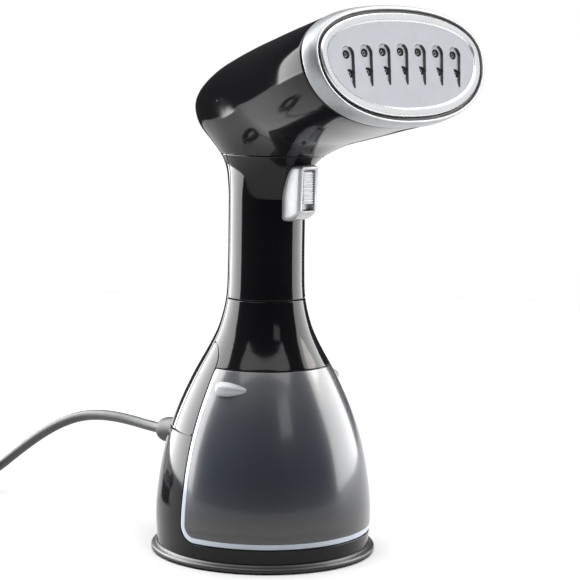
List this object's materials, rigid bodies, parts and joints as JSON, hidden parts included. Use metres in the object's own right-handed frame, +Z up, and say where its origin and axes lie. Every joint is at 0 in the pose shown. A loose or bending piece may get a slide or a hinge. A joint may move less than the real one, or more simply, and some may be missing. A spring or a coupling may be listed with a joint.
{
  "type": "garment steamer",
  "caption": "Upright handheld garment steamer: bell-shaped base holding a pull-out water tank, slim handle with a slide switch, and an oval slotted soleplate.",
  "frame": {"origin": "centre of the round resting face, at floor level on the handle's axis", "axes": "+Z up the handle, -Y the way the soleplate faces, +X across the soleplate; the object is symmetric about the plane X = 0 apart from its inner parts and cord"},
  "size_m": [0.1889, 0.3871, 0.2874],
  "materials": {
    "polished_plate": "polished rim, satin field",
    "silicone_black": "matte",
    "silver_paint": "satin silver paint on plastic",
    "cast_alloy": "as cast",
    "heater_steel": "heat tinted",
    "ceramic_white": "matte",
    "gloss_black": "high gloss",
    "satin_black": "satin",
    "board_green": "solder mask",
    "clear_tube": "translucent silicone",
    "wire_blue": "satin",
    "screw_steel": "zinc plated",
    "white_plastic": "satin",
    "copper_coil": "varnished winding",
    "smoke_tank": "smoky translucent plastic, glossy",
    "clear_back": "clear plastic, slightly blue",
    "red_seal": "matte",
    "smoke_tab": "translucent grey",
    "cord_black": "satin cord jacket",
    "blade_brass": "nickel on brass"
  },
  "bodies": {
    "housing": {"soleplate": "polished_plate", "plate_gasket": "silicone_black", "foot_pads": "silicone_black", "pump_mount": "silicone_black", "cord_tie": "silicone_black", "trim_ring": "silver_paint", "switch_housing": "silver_paint", "steam_chamber": "cast_alloy", "chamber_cover": "cast_alloy", "heating_element": "heater_steel", "thermostat": "ceramic_white", "thermal_fuse": "ceramic_white", "terminal_block": "ceramic_white", "head_shell": "gloss_black", "handle_front": "gloss_black", "rear_cover": "gloss_black", "neck_collar": "gloss_black", "body_shell": "gloss_black", "base_flange": "satin_black", "base_plate": "satin_black", "slide_switch": "satin_black", "cord_clamp": "satin_black", "control_board": "board_green", "steam_pipe": "clear_tube", "inlet_tube": "clear_tube", "outlet_tube": "clear_tube", "wire_harness": "wire_blue", "base_screws": "screw_steel", "cover_screws": "screw_steel", "pump_body": "white_plastic", "inlet_port": "white_plastic", "pump_coil": "copper_coil", "strain_relief": "cord_black", "cord": "cord_black", "cord_coil": "cord_black", "plug_body": "cord_black", "plug_blades": "blade_brass"},
    "slider": {"switch_slider": "silver_paint"},
    "plunger": {"pump_plunger": "screw_steel"},
    "tank": {"water_tank": "smoke_tank", "tank_back": "clear_back", "cap_seal": "red_seal", "valve_cage": "white_plastic", "valve_spring": "screw_steel", "tab_springs": "screw_steel"},
    "cap": {"filler_cap": "satin_black"},
    "poppet": {"valve_poppet": "satin_black"},
    "tab_left": {"release_tab_left": "smoke_tab"},
    "tab_right": {"release_tab_right": "smoke_tab"}
  },
  "joints": [
    {"name": "switch_slide", "type": "slide", "parent": "housing", "child": "slider", "axis": [0, 0, 1], "range_m": [-0.0036, 0.0011]},
    {"name": "tank_pull", "type": "slide", "parent": "housing", "child": "tank", "axis": [0, -1, 0], "range_m": [0, 0.09]},
    {"name": "cap_turn", "type": "hinge", "parent": "tank", "child": "cap", "pos_m": [0, -0.0013, 0.072], "axis": [0, 1, 0], "range_deg": [0, 90]},
    {"name": "valve_travel", "type": "slide", "parent": "tank", "child": "poppet", "axis": [0, 1, 0], "range_m": [0, 0.002]},
    {"name": "tab_left_push", "type": "slide", "parent": "tank", "child": "tab_left", "axis": [0.9272, 0.3746, 0], "range_m": [0, 0.0024], "stiffness_N_per_m": 1500},
    {"name": "tab_right_push", "type": "slide", "parent": "tank", "child": "tab_right", "axis": [-0.9272, 0.3746, 0], "range_m": [0, 0.0024], "stiffness_N_per_m": 1500},
    {"name": "plunger_stroke", "type": "slide", "parent": "housing", "child": "plunger", "axis": [0, 0, 1], "range_m": [-0.0015, 0.0015], "stiffness_N_per_m": 800}
  ]
}
